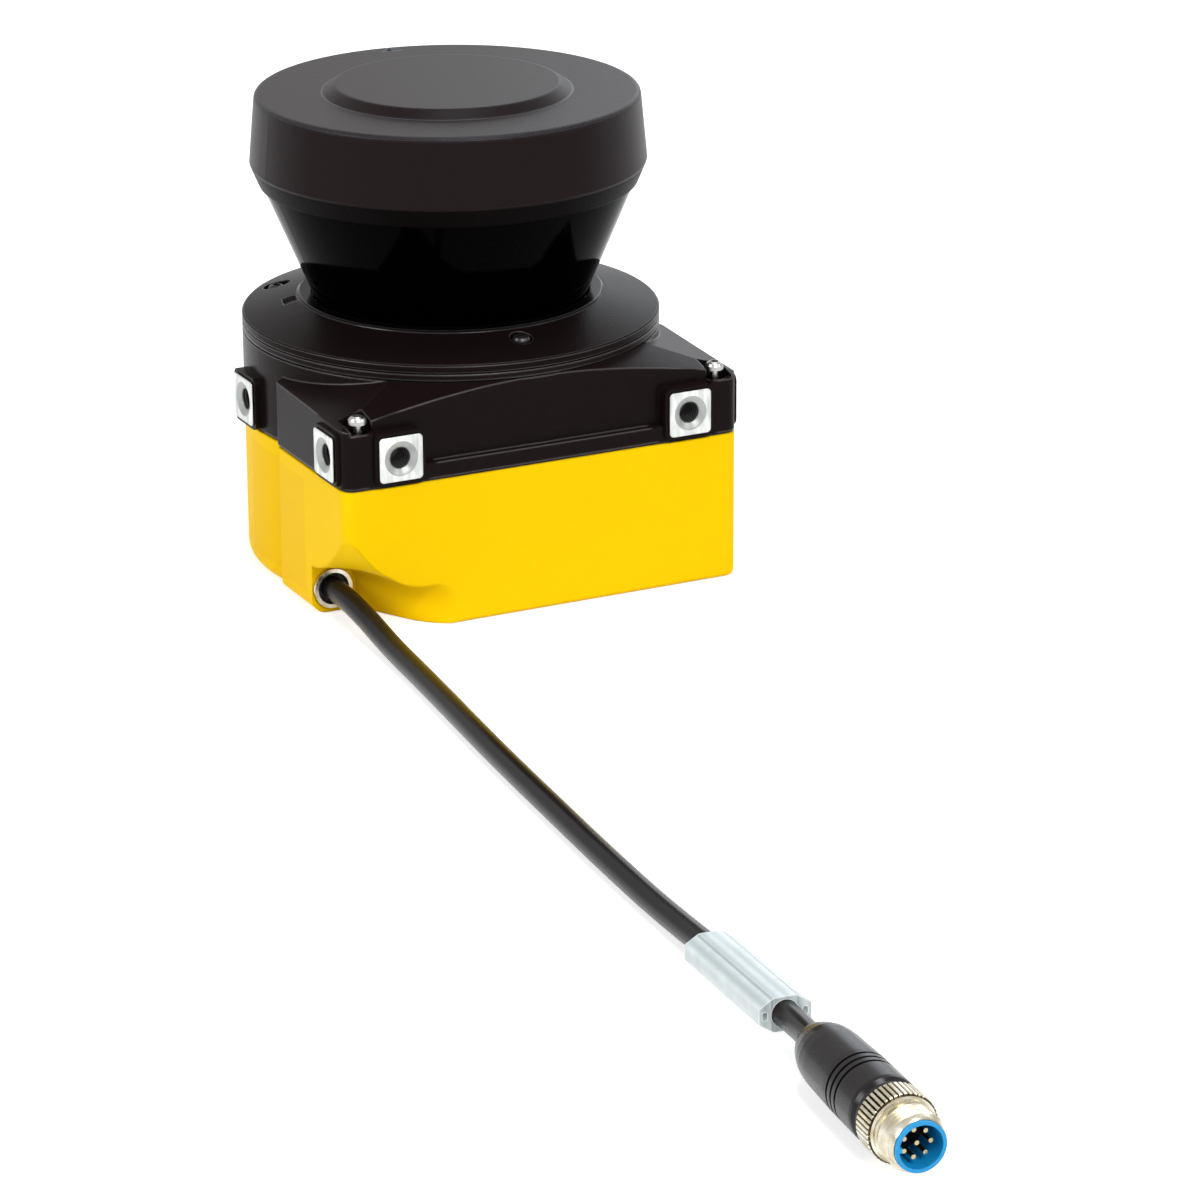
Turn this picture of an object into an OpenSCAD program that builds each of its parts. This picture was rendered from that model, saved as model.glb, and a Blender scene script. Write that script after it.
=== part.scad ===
// Compact safety laser scanner with a short connection cable.
// The origin is where the scan axis meets the base plane: +Z is up, the scanner looks along -Y,
// and the flat rear face, which carries two fixing pads, is at +Y.

/* [Base housing] */
// Width across the flat sides
body_w = 102; // [101:0.5:106]
// Distance from the scan axis to the flat rear face
rear_y = 52; // [51:0.5:56]
// Radius of the round front
front_r = 50.2; // [49.5:0.1:50.6]
// Distance behind the scan axis at which the flat sides start
flank_y = 11.5; // [9:0.5:14]
// Radius of the rear corners
corner_r = 3; // [1.5:0.5:4]
// Height of the base housing
base_h = 36; // [34:0.5:40]
// Wall thickness of both castings
wall = 3; // [2.4:0.1:3.2]
// Rounding of the bottom edge round the front and along the sides
foot_round = 3.5; // [1:0.5:5]
// Height of the four posts under the power board
post_h = 7; // [5:0.5:9]

/* [Upper casting] */
// Thickness of the gasket between the castings
gasket_t = 0.6; // [0.4:0.1:1.2]
// Height of the upper casting, from the gasket to the optics flange
casting_h = 22.1; // [21:0.1:25]
// Height of the lip round the upper casting's lower edge
lip_h = 3.8; // [2:0.1:5]
// Depth of the recessed rear wall behind the lip
rear_recess = 2; // [1:0.1:2.4]
// Fall of the conical deck, in degrees
deck_fall = 16.5; // [14:0.5:20]
// Height of the deck's top edge below the flange
deck_drop = 1.9; // [1.6:0.1:2.6]
// Tilt of the two slopes that lower the deck to the flat sides, in degrees
side_fall = 18; // [14:1:24]
// Height of the slopes' outer edges above the corner posts
side_rise = 2.4; // [1.6:0.1:3.4]
// Width of the two rear corner posts
corner_post_w = 7.6; // [7:0.1:9]
// Height of the corner posts' tops above the lip
corner_post_h = 9.2; // [8.6:0.1:10.4]
// Thickness of the side wall that stands beside each corner post's notch
post_wall = 1.8; // [1.2:0.1:2.4]
// Radius of the screw pocket in each corner post
pocket_r = 2.6; // [2.3:0.1:2.8]

/* [Fixing pads] */
// Side of a milled pad face
pad_w = 10.8; // [9:0.1:11.5]
// How far the pad faces stand out of the housing
pad_proud = 1.4; // [1:0.1:3]
// Height of the fixing holes above the upper casting's lower edge
pad_up = 6.5; // [6.5:0.1:6.8]
// Distance of each rear pad from the middle
rear_pad_x = 37.4; // [34:0.1:37.6]
// Place of the side pads near the rear corners
side_pad_rear = 42.8; // [40:0.1:43]
// Place of the side pads beside the scan axis
side_pad_front = -5.2; // [-8:0.1:-3]
// Core radius of the M6 threads
thread_core_r = 2.5; // [2:0.1:2.6]
// Depth of the threads
thread_depth = 8; // [6:0.5:8.5]
// Radius of the countersink round each thread
countersink_r = 4.1; // [3:0.1:4.4]

/* [Optics flange and cover] */
// Thickness of the optics flange's rim
flange_t = 2.3; // [2:0.1:3]
// Rise of the flange's conical top towards the cover
flange_rise = 3.7; // [3:0.1:5]
// Outer radius of the collar that clamps the cover
collar_r = 36.9; // [36:0.1:38]
// Outer radius of the cover at its foot
cover_foot_r = 33.2; // [32.6:0.1:34]
// Outer radius of the cover under the cap
cover_top_r = 44.6; // [44:0.1:45]
// Height of the cover's window above the collar
cover_h = 27.2; // [26:0.1:30]
// Wall of the cover
cover_wall = 2.2; // [1.5:0.1:2.5]

/* [Cap] */
// Largest radius of the cap
cap_r = 47.4; // [46.5:0.1:49]
// Radius of the cap's shoulder
cap_shoulder_r = 46; // [45.2:0.1:46.4]
// Height of the cap, from its lower edge to its shoulder
cap_h = 21.5; // [21:0.1:24]
// Height of the chamfer under the cap's largest radius
cap_chamfer_h = 4.5; // [3:0.1:6]
// Wall of the cap
cap_wall = 2.5; // [2:0.1:2.6]
// Height of the raised disc on the cap
disc_h = 2; // [1:0.1:3]
// Radius of the raised disc's top
disc_r = 26.8; // [22:0.1:32]
// Width of the raised disc's sloping side
disc_side = 3; // [1:0.1:5]

/* [Scan unit] */
// Radius of the mirror, seen along the scan axis
mirror_r = 16.5; // [12:0.1:18]
// Thickness of the mirror
mirror_t = 2; // [1:0.1:3]
// Radius of the motor shaft
shaft_r = 2; // [1.5:0.1:3]
// Radial clearance of the shaft in its bearings
shaft_gap = 0.03; // [0.01:0.01:0.08]
// Outer radius of the motor can
motor_r = 17; // [15:0.5:20]
// Radius of the encoder disc
encoder_r = 26; // [22:0.5:28]
// Radius of the receiver lens
lens_r = 22.4; // [18:0.1:24]
// Radius of the laser module in the lens
laser_r = 4.2; // [3:0.1:6]

/* [Circuit boards] */
// Width of the two stacked boards
board_w = 76; // [70:1:80]
// Reach of the boards towards the front
board_front = 40; // [34:1:42]
// Reach of the boards towards the rear
board_rear = 23; // [21:0.5:25]
// Distance of the board posts from the middle
post_x = 28; // [24:0.5:30]
// Place of the front pair of board posts
post_front = 24; // [20:0.5:26]
// Place of the rear pair of board posts
post_rear = 18; // [14:0.5:19]
// Thickness of the boards
board_t = 1.6; // [1:0.1:2]
// Distance between the power board and the main board
board_gap = 16; // [14:0.5:18]

/* [Cable and plug] */
// Diameter of the cable
cord_d = 5.4; // [5:0.1:5.6]
// Outer radius of the metal ring in the cable outlet
gland_r = 4.8; // [4.4:0.1:5.2]
// Radius of the bend relief round the cable outlet
relief_r = 6.2; // [5.8:0.1:6.6]
// Radius of the coupling nut's thread
plug_thread_r = 6; // [5.8:0.1:6.4]
// Outer radius of the coupling nut's knurled ring
plug_nut_r = 7.1; // [6.8:0.1:7.2]
// Grooves round the knurled ring
knurl_count = 36; // [20:2:48]
// Length of the plug's moulded body
plug_body_l = 34.8; // [32:0.1:42]
// Length of the marker sleeve
marker_l = 37; // [20:0.5:37.5]

/* [Hidden] */
$fn = 96;

eps = 0.01;
fit = 0.05;            // radial clearance of a screw or sleeve in its hole
half_w = body_w / 2;
far = 200;             // longer than any piece

// Heights, from the base plane upwards
casting_z = base_h + gasket_t;
lip_z = casting_z + lip_h;
flange_z = casting_z + casting_h;
ledge_z = lip_z + corner_post_h;
deck_z = flange_z - deck_drop;
rim_z = flange_z + flange_t;
seat_z = rim_z + 0.2;                      // where the cover's foot stands
collar_z = rim_z + flange_rise + 0.6;      // top of the collar
cap_z = collar_z + cover_h;                // lower edge of the cap
band_z = cap_z + cap_chamfer_h;
shoulder_z = cap_z + cap_h;
spigot_h = 4;                              // the cover's spigot inside the cap
bracket_z = cap_z + spigot_h;
pad_z = casting_z + pad_up;                // height of the fixing holes
bracket_t = 2.5;
mirror_z = (collar_z + cap_z) / 2;
cap_inside_z = shoulder_z - cap_wall;

// ---------------------------------------------------------------- outlines

// A rectangle with its own radius at the front and at the rear corners.
module rounded_flanks(half, y0, y1, r_front, r_rear) {
    translate([-half, y0 + r_front]) square([2 * half, y1 - y0 - r_front - r_rear]);
    translate([-half + r_front, y0]) square([2 * (half - r_front), y1 - y0 - r_rear]);
    translate([-half + r_rear, y0 + r_front]) square([2 * (half - r_rear), y1 - y0 - r_front]);
    for (s = [-1, 1]) {
        translate([s * (half - r_front), y0 + r_front]) circle(r_front);
        translate([s * (half - r_rear), y1 - r_rear]) circle(r_rear);
    }
}

// The housing seen from above: a round front between two flat sides.
module outline(inset = 0) {
    circle(front_r - inset);
    rounded_flanks(half_w - inset, flank_y + inset, rear_y - inset, 1, max(corner_r - inset, 0.5));
}

module at_corner_screws() {
    for (s = [-1, 1]) translate([s * (half_w - screw_side), rear_y - screw_rear, 0]) children();
}

module at_board_posts() {
    for (x = [-1, 1], y = [-post_front, post_rear]) translate([x * post_x, y, 0]) children();
}

// Puts +Z along the outward normal of each fixing pad, with the origin on the housing's face.
module at_pads() {
    for (s = [-1, 1]) translate([s * rear_pad_x, rear_y, pad_z]) rotate([-90, 0, 0]) children();
    for (s = [-1, 1], y = [side_pad_front, side_pad_rear])
        translate([s * half_w, y, pad_z]) rotate([0, s * 90, 0]) rotate([0, 0, 90]) children();
}

// ------------------------------------------------------------ base housing

screw_side = 4.8;      // corner screws' distance from the flat sides
screw_rear = 3.4;      // and from the rear face
pillar_r = 4;          // pillars that hold the corner screws' threads
screw_r = 1.5;
screw_l = 19;
gland_x = half_w - 5;
gland_y = rear_y - 21;
gland_z = 6;
relief_bend = rear_y - gland_y + 0.6;        // the cable may bend this far in each direction

// One bend relief: the room of a cable that turns from +Y towards the given angle in the XZ plane.
// The one that turns along the rear face is open to the floor.
module bend_relief(angle, open_down = false) {
    translate([gland_x, gland_y, gland_z])
        rotate([0, -angle, 0])
            translate([relief_bend, 0, 0])
                rotate([0, 0, 90])
                    rotate_extrude(angle = 90)
                        translate([relief_bend, 0]) {
                            circle(relief_r);
                            if (open_down) translate([-relief_r, 0]) square([2 * relief_r, gland_z + 1]);
                        }
}

module cable_scoop() {
    bend_relief(74);
    bend_relief(180, open_down = true);
    translate([gland_x, gland_y, gland_z]) rotate([-90, 0, 0]) cylinder(r = relief_r, h = far);
    translate([gland_x, gland_y, -1]) cube([far, far, gland_z + relief_r + 1]);
    translate([gland_x - relief_r, gland_y, -1]) cube([far, far, gland_z + 1]);
}

// The bottom edge is rounded along the front and the sides, the rear face ends in a narrow chamfer.
module base_outside() {
    rotate_extrude() {
        square([front_r - foot_round, base_h]);
        translate([0, foot_round]) square([front_r, base_h - foot_round]);
        translate([front_r - foot_round, foot_round]) circle(foot_round, $fn = 64);
    }
    difference() {
        intersection() {
            linear_extrude(base_h) rounded_flanks(half_w, flank_y, rear_y, 1.5, corner_r);
            rotate([90, 0, 0]) linear_extrude(far, center = true) {
                translate([-half_w, foot_round]) square([body_w, base_h - foot_round]);
                translate([-half_w + foot_round, 0]) square([body_w - 2 * foot_round, base_h]);
                for (s = [-1, 1]) translate([s * (half_w - foot_round), foot_round]) circle(foot_round, $fn = 64);
            }
        }
        translate([0, rear_y, 0]) rotate([45, 0, 0]) cube([far, 1, 1], center = true);
    }
}

module base_housing() color("gold") {
    difference() {
        base_outside();
        difference() {
            translate([0, 0, wall]) linear_extrude(base_h) outline(wall);
            at_board_posts() cylinder(r = 3, h = wall + post_h);
            at_corner_screws() cylinder(r = pillar_r, h = far);
            // solid metal behind the cable scoop
            translate([gland_x - relief_r - 3, gland_y - 7, 0]) cube([far, far, relief_bend + gland_z]);
            translate([gland_x - relief_bend, gland_y + 9, 0]) cube([far, far, gland_z + relief_r + 3]);
        }
        at_corner_screws() translate([0, 0, base_h - 8]) cylinder(r = screw_r, h = far);
        at_board_posts() translate([0, 0, wall]) cylinder(r = 1.3, h = far);
        at_gland() translate([0, 0, -gland_in]) cylinder(r = gland_r + fit, h = far);
        at_gland() translate([0, 0, -gland_in - 8]) cylinder(r = gland_r - 1, h = far);
        cable_scoop();
    }
}

module base_gasket() color("black")
    translate([0, 0, base_h]) linear_extrude(gasket_t) difference() {
        outline(0.5);
        difference() {
            outline(wall - 0.5);
            at_corner_screws() circle(pillar_r - 0.4);
        }
        at_corner_screws() circle(screw_r + 0.2);
    }

// ------------------------------------------------------------ upper casting

module deck_limit() {
    slope = tan(deck_fall);
    reach = 90;
    rotate_extrude()
        polygon([[0, 0], [reach, 0], [reach, deck_z - slope * (reach - front_r)], [front_r, deck_z], [0, deck_z]]);
}

// Slanting planes that lower the deck towards the flat sides and a little towards the rear.
module side_bevels() {
    for (s = [-1, 1])
        translate([s * half_w, flank_y, ledge_z + side_rise]) rotate([0, s * side_fall, 0]) rotate([-2, 0, 0])
            translate([-far / 2, -far / 2, 0]) cube([far, far, far]);
}

module casting_outside() {
    translate([0, 0, casting_z]) {
        linear_extrude(lip_h) outline();
        // the round front's wall, the ring under the flange and the groove between them
        difference() {
            cylinder(r = front_r, h = casting_h);
            translate([0, 0, casting_h - 2]) difference() {
                cylinder(r = front_r + 1, h = 0.5);
                cylinder(r = front_r - 1, h = far, center = true);
            }
        }
    }
    difference() {
        intersection() {
            translate([0, 0, casting_z]) linear_extrude(casting_h) difference() {
                outline();
                translate([-half_w + corner_post_w, rear_y - rear_recess])
                    square([body_w - 2 * corner_post_w, far]);
            }
            deck_limit();
        }
        side_bevels();
    }
}

// A milled pad face on a slightly larger boss, which reaches in to the wall behind it.
module pad_bosses() {
    root = rear_recess + 2 + half_w - front_r;
    at_pads() translate([0, 0, -root]) linear_extrude(root + pad_proud - 0.5) rounded_square(pad_w + 2, 1.8);
    at_pads() translate([0, 0, -root]) linear_extrude(root + pad_proud) rounded_square(pad_w, 1);
}

module rounded_square(side, r) {
    square([side - 2 * r, side], center = true);
    square([side, side - 2 * r], center = true);
    for (x = [-1, 1], y = [-1, 1]) translate([x, y] * (side / 2 - r)) circle(r);
}

// A notch over each corner post, open to the rear, beside a thin side wall.
module corner_cuts() {
    notch_w = corner_post_w - post_wall;
    for (s = [-1, 1])
        translate([s * (half_w - post_wall - notch_w / 2) - notch_w / 2, rear_y - corner_post_w, ledge_z])
            cube([notch_w, far, far]);
}

window_w = 28;
window_h = 11;
window_z = casting_z + 10.5;    // height of the display's middle
window_t = 2.5;
guide_r = 1.2;
guide_pitch = 5;

module upper_casting() color("#1c1b1b") {
    difference() {
        union() {
            difference() {
                union() {
                    casting_outside();
                    pad_bosses();
                }
                difference() {
                    union() {
                        translate([0, 0, casting_z - 1])
                            linear_extrude(ledge_z - casting_z - 3) outline(wall);
                        translate([0, 0, casting_z - 1])
                            cylinder(r = front_r - wall, h = casting_h + 1 - wall);
                    }
                    at_corner_screws() cylinder(r = pillar_r, h = far);
                    at_pads() translate([0, 0, pad_proud - thread_depth - 1.5]) cylinder(r = 4.6, h = far);
                }
            }
        }
        translate([0, 0, casting_z]) cylinder(r = plate_bore_r + 4, h = far);
        corner_cuts();
        at_corner_screws() translate([0, 0, ledge_z - pocket_depth]) cylinder(r = pocket_r, h = far);
        at_corner_screws() cylinder(r = screw_r + 0.2, h = far);
        at_pads() translate([0, 0, pad_proud - thread_depth]) cylinder(r = thread_core_r, h = far);
        at_pads() translate([0, 0, pad_proud - (countersink_r - thread_core_r) / 2])
            cylinder(r1 = thread_core_r, r2 = countersink_r, h = (countersink_r - thread_core_r) / 2 + eps);
        // display window and its light guides
        translate([-window_w / 2 - 0.1, -front_r - 1, window_z - window_h / 2 - 0.1])
            cube([window_w + 0.2, window_t + 1.4, window_h + 0.2]);
        at_light_guides() cylinder(r = guide_r + fit, h = wall + 1);
        at_flange_screws() translate([0, 0, flange_z - 4]) cylinder(r = screw_r, h = far);
    }
}

module at_light_guides() {
    for (i = [-2:2]) translate([i * guide_pitch, -front_r + window_t + 0.4, window_z]) rotate([-90, 0, 0]) children();
}

head_r = 2.15;
head_h = 1.9;
neck_r = 1;
pocket_depth = 1.7;

// A button-head screw. A captive one stands up on a thinner neck and can't be lost.
module screw(length, head_lift = 0) {
    translate([0, 0, head_lift]) difference() {
        union() {
            cylinder(r = head_r, h = head_h * 0.5);
            translate([0, 0, head_h * 0.5]) cylinder(r1 = head_r, r2 = head_r * 0.85, h = head_h * 0.3);
            translate([0, 0, head_h * 0.8]) cylinder(r1 = head_r * 0.85, r2 = head_r * 0.55, h = head_h * 0.2);
        }
        translate([0, 0, head_h * 0.45]) cylinder(r = 1.1, h = far, $fn = 6);
    }
    translate([0, 0, -length]) cylinder(r = screw_r - fit, h = length + eps);
    cylinder(r = head_lift > 0 ? neck_r : screw_r - fit, h = head_lift + eps);
}

module corner_screws() color("silver")
    at_corner_screws() translate([0, 0, ledge_z - pocket_depth]) screw(screw_l, pocket_depth + 1.9);

// ------------------------------------------------- optics flange and cover

plate_bore_r = 30;
cover_slope = (cover_top_r - cover_foot_r) / cover_h;
cover_foot_w = 2.2;
foot_t = 1.5;
spigot_r = cover_top_r - 1.6;                   // outer radius of the spigot inside the cap
spigot_in = spigot_r - cover_wall;

side_screw_r = front_r - 6;       // flange screws' distance from the scan axis
rear_screw_r = collar_r + 3.9;
side_screw_at = [-42, 222];
rear_screw_at = 89;
cone_fall = atan(flange_rise / (front_r - 0.4 - collar_r - fit));   // slope of the flange's top

// Height of the flange's conical top at a distance from the scan axis.
function cone_z(r) = rim_z + tan(cone_fall) * (front_r - 0.4 - r);

module at_side_screws() for (a = side_screw_at) rotate([0, 0, a]) translate([side_screw_r, 0, 0]) children();
module at_rear_screw() rotate([0, 0, rear_screw_at]) translate([rear_screw_r, 0, 0]) children();
module at_flange_screws() { at_side_screws() children(); at_rear_screw() children(); }

module flange_plate() color("#242323") difference() {
    rotate_extrude() polygon([
        [plate_bore_r, flange_z], [front_r - 1.2, flange_z], [front_r - 1.2, flange_z + 0.4],
        [front_r, flange_z + 0.4], [front_r, rim_z - 0.4], [front_r - 0.4, rim_z],
        [collar_r + fit, rim_z + flange_rise], [collar_r + fit, seat_z], [plate_bore_r, seat_z]]);
    at_flange_screws() cylinder(r = screw_r + 0.2, h = far);
    at_side_screws() translate([0, 0, rim_z - 0.3]) cylinder(r = 3.4, h = far);
    at_rear_screw() translate([0, 0, rim_z + 1.4]) cylinder(r = 2.7, h = far);
    // a shallow notch that shows where the cover's seam goes
    rotate([0, 0, -16.6]) translate([collar_r + 2, 0, cone_z(collar_r + 2)]) rotate([0, cone_fall, 0])
        cube([3.4, 5, 1.2], center = true);
}

module flange_screws() color("#3b3a3a") {
    at_side_screws() translate([0, 0, rim_z - 0.3]) screw(5);
    at_rear_screw() translate([0, 0, rim_z + 1.4]) screw(6.5);
}

module cover_collar() color("#1f1e1e")
    rotate_extrude() polygon([
        [cover_foot_r + cover_foot_w + 0.1, seat_z], [collar_r, seat_z], [collar_r, collar_z - 0.5],
        [collar_r - 0.5, collar_z], [cover_foot_r + 0.5, collar_z], [cover_foot_r + 0.5, seat_z + foot_t],
        [cover_foot_r + cover_foot_w + 0.1, seat_z + foot_t]]);

function outer_r(z) = cover_foot_r + cover_slope * (z - collar_z);

module optics_cover() color("#0b0b0c") {
    z0 = seat_z + foot_t;
    rotate_extrude() polygon([
        [plate_bore_r + 0.6, seat_z], [cover_foot_r + cover_foot_w, seat_z], [cover_foot_r + cover_foot_w, z0],
        [outer_r(z0), z0], [cover_top_r, cap_z], [spigot_r, cap_z], [spigot_r, bracket_z],
        [spigot_in, bracket_z], [spigot_in, cap_z - 1],
        [outer_r(z0) - cover_wall, z0], [plate_bore_r + 0.6, z0]]);
}

// -------------------------------------------------------------------- cap

// Points along an arc, for the rounded edges of a turned profile.
function arc(x, z, r, from, to, steps = 4) =
    [for (i = [0:steps]) let (a = from + (to - from) * i / steps) [x + r * cos(a), z + r * sin(a)]];

module top_cap() color("#232222") {
    edge = 1.2;
    step = 1.4;                              // rounding of the raised disc's upper edge
    lean = atan(disc_h / disc_side);
    difference() {
        rotate_extrude() {
            polygon(concat(
                [[0, cap_z], [cover_top_r + 0.7, cap_z], [cap_r - 0.5, band_z - 0.7], [cap_r, band_z + 0.6]],
                arc(cap_shoulder_r - edge, shoulder_z - edge, edge, 4, 90),
                [[disc_r + disc_side, shoulder_z]],
                arc(disc_r - step * tan(lean / 2), shoulder_z + disc_h - step, step, 90 - lean, 90),
                [[0, shoulder_z + disc_h]]));
        }
        translate([0, 0, cap_z - 1]) cylinder(r = spigot_r + fit, h = cap_inside_z - cap_z + 1);
        // a small arrow head that shows the scan direction
        rotate([0, 0, -96]) translate([cap_shoulder_r - 4.6, 0, shoulder_z - 0.5])
            linear_extrude(1) polygon([[0, -2.4], [0, 2.4], [3, 0]]);
    }
}

// ---------------------------------------------------------- display window

module display_window() color("#101418") intersection() {
    cylinder(r = front_r - 0.1, h = far);
    translate([-window_w / 2, -front_r, window_z - window_h / 2])
        cube([window_w, window_t + 0.4, window_h]);
}

guide_l = 3;

module light_guides() color("#c8d2d8") at_light_guides() cylinder(r = guide_r, h = guide_l);

module display_board() color("#1d6b3c")
    translate([-13, -front_r + window_t + 0.4 + guide_l, window_z - 5]) cube([26, board_t, 8]);

// --------------------------------------------------------------- scan unit

column_w = 14;
column_t = 3.6;

// The column leans back along the inside of the cover, and its foot stands on the lens holder's flange.
module rear_column() color("#2a2a2c") {
    foot_y = 24.6;
    knee_z = seat_z + foot_t + 2;
    top_y = sqrt(pow(spigot_in - 0.5, 2) - pow(column_w / 2, 2));
    translate([-column_w / 2, 0, 0]) rotate([90, 0, 90]) linear_extrude(column_w) polygon([
        [foot_y, flange_z], [foot_y + 2.4, flange_z], [foot_y + column_t, knee_z],
        [top_y, bracket_z], [top_y - column_t, bracket_z], [foot_y, knee_z]]);
}

module motor_bracket() color("#8d9094") translate([0, 0, bracket_z]) difference() {
    cylinder(r = spigot_r, h = bracket_t);
    translate([0, 0, -1]) cylinder(r = 6, h = far);
    for (a = [45:90:315]) rotate([0, 0, a]) translate([30, 0, -1]) cylinder(r = 5, h = far);
}

can_z = bracket_z + bracket_t;
can_h = 10.4;
can_wall = 1.5;
bearing_h = 2.5;
bearing_r = 5;

module motor_can() color("#b9bcc0") translate([0, 0, can_z]) difference() {
    cylinder(r = motor_r, h = can_h);
    translate([0, 0, bearing_h]) cylinder(r = motor_r - can_wall, h = can_h - 2 * bearing_h);
    translate([0, 0, -1]) cylinder(r = bearing_r + fit, h = far);
}

module motor_bearings() color("silver")
    for (z = [can_z, can_z + can_h - bearing_h]) translate([0, 0, z]) difference() {
        cylinder(r = bearing_r, h = bearing_h);
        translate([0, 0, -1]) cylinder(r = shaft_r + shaft_gap, h = far);
    }

module motor_windings() color("#b5651d") translate([0, 0, can_z + bearing_h + 0.1]) difference() {
    cylinder(r = motor_r - can_wall - fit, h = can_h - 2 * bearing_h - 0.2);
    translate([0, 0, -1]) cylinder(r = 11.5, h = far);
}

module motor_shaft() color("silver")
    translate([0, 0, mirror_z + 6]) cylinder(r = shaft_r, h = can_z + can_h - mirror_z - 6);

module rotor_magnet() color("#4a4c50") translate([0, 0, can_z + bearing_h + 0.3]) difference() {
    cylinder(r = 11, h = can_h - 2 * bearing_h - 0.6);
    translate([0, 0, -1]) cylinder(r = shaft_r + 0.02, h = far);
}

// Everything on the mirror's side of a plane at 45 degrees through the mirror's middle,
// moved along the plane's normal.
module behind_mirror(offset) {
    translate([0, 0, mirror_z]) rotate([-45, 0, 0])
        translate([-far / 2, -far / 2, offset]) cube([far, far, far]);
}

module mirror_carrier() color("#303236") difference() {
    union() {
        intersection() {
            translate([0, 0, mirror_z - mirror_r]) cylinder(r = mirror_r, h = cap_z - 2 - mirror_z + mirror_r);
            behind_mirror(0);
        }
        translate([0, 0, cap_z - 2.1]) cylinder(r = 6, h = 4.1);
    }
    translate([0, 0, mirror_z + 6]) cylinder(r = shaft_r + 0.02, h = far);
}

module scan_mirror() color("#d8dde2") intersection() {
    translate([0, 0, mirror_z - mirror_r - 2 * mirror_t])
        cylinder(r = mirror_r, h = cap_z - 2 - mirror_z + mirror_r + 2 * mirror_t);
    difference() {
        behind_mirror(-mirror_t);
        behind_mirror(0);
    }
}

encoder_z = cap_z + 2;

module encoder_disc() color("#9aa3ab") translate([0, 0, encoder_z]) difference() {
    cylinder(r = encoder_r, h = 0.8);
    translate([0, 0, -1]) cylinder(r = shaft_r + 0.02, h = far);
    for (a = [0:15:345]) rotate([0, 0, a]) translate([encoder_r - 2.5, 0, -1]) cylinder(r = 0.8, h = far, $fn = 24);
}

module encoder_sensor() color("#151515") difference() {
    translate([-4, -encoder_r - 3, encoder_z - 1.8]) cube([8, 7, bracket_z - encoder_z + 1.8]);
    translate([0, 0, encoder_z - 0.4]) cylinder(r = encoder_r + 0.5, h = 1.6);
}

// ---------------------------------------------------------------- receiver

holder_h = 16;
lens_seat = 7;
lens_edge = 0.8;       // thickness of the lens at its edge

module lens_holder() color("#18181a") translate([0, 0, flange_z - holder_h]) difference() {
    union() {
        cylinder(r = lens_r + 2.6, h = holder_h);
        translate([0, 0, holder_h - 2]) cylinder(r = plate_bore_r + 3.6, h = 2);
    }
    translate([0, 0, -1]) cylinder(r = lens_r - 1.5, h = far);
    translate([0, 0, holder_h - lens_seat]) cylinder(r = lens_r + fit, h = far);
}

module receiver_lens() color("#9fc4cf") {
    sagitta = 4.2;         // height of the lens's curve
    ball_r = (lens_r * lens_r + sagitta * sagitta) / (2 * sagitta);
    difference() {
        translate([0, 0, flange_z - lens_seat]) intersection() {
            cylinder(r = lens_r, h = far);
            translate([0, 0, lens_edge + sagitta - ball_r]) sphere(ball_r);
        }
        translate([0, 0, flange_z - lens_seat - far / 2]) cube([far, far, far], center = true);
        cylinder(r = laser_r + fit, h = far);
    }
}

module lens_ring() color("#2c2d30") translate([0, 0, flange_z - lens_seat + lens_edge + 0.4]) difference() {
    cylinder(r = lens_r, h = 2.4);
    translate([0, 0, -1]) cylinder(r = lens_r - 0.9, h = far);
}

module laser_module() color("#c9a24a") translate([0, 0, flange_z - holder_h + 4]) difference() {
    cylinder(r = laser_r, h = holder_h - 4.4);
    translate([0, 0, holder_h - 6.4]) cylinder(r = laser_r - 1.4, h = far);
}

module receiver_board() color("#1d6b3c") translate([0, 0, flange_z - holder_h - board_t]) {
    cylinder(r = lens_r + 4, h = board_t);
    cylinder(r = 3.4, h = board_t + 2.4);
}

// ---------------------------------------------------------- circuit boards

power_z = wall + post_h;
main_z = power_z + board_t + board_gap;

module board_blank(z) translate([0, 0, z]) difference() {
    linear_extrude(board_t) intersection() {
        circle(front_r - wall - 2);
        translate([-board_w / 2, -board_front]) square([board_w, board_front + board_rear]);
    }
    at_board_posts() cylinder(r = 1.5, h = 3 * board_t, center = true);
}

// One soldered component, as wide, deep and high as given.
module component(x, y, size) translate([x - size[0] / 2, y - size[1] / 2, board_t - eps]) cube(size);

module power_board() color("#1d6b3c") {
    board_blank(power_z);
    translate([0, 0, power_z]) {
        component(-14, 8, [18, 14, 9]);
        component(8, 6, [10, 16, 6]);
        component(0, -24, [24, 9, 8]);
        for (x = [-18, -8, 2]) translate([x, -9, board_t - eps]) cylinder(r = 4, h = 10);
    }
}

module main_board() color("#1d6b3c") {
    board_blank(main_z);
    translate([0, 0, main_z]) {
        component(0, 0, [16, 16, 1.6]);
        component(-20, -4, [12, 8, 1.4]);
        component(18, 6, [8, 12, 1.4]);
        component(0, -28, [20, 5, 4]);
    }
}

module board_spacers() color("silver") at_board_posts() difference() {
    union() {
        translate([0, 0, power_z + board_t]) cylinder(r = 2.8, h = board_gap, $fn = 6);
        translate([0, 0, wall + 1]) cylinder(r = 1.25, h = power_z + board_t - wall);
    }
    translate([0, 0, main_z - 6]) cylinder(r = 1.3, h = far);
}

module board_screws() color("silver") at_board_posts() translate([0, 0, main_z + board_t]) {
    difference() {
        cylinder(r = 2.4, h = 1.6);
        translate([0, 0, 0.7]) cylinder(r = 1, h = far, $fn = 6);
    }
    translate([0, 0, -6]) cylinder(r = 1.25, h = 6 + eps);
}

// ---------------------------------------------------------- cable and plug

cord_r = cord_d / 2;
gland_in = 8;          // how far the ring reaches into the housing
gland_out = 1.1;       // how far it stands out

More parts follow.
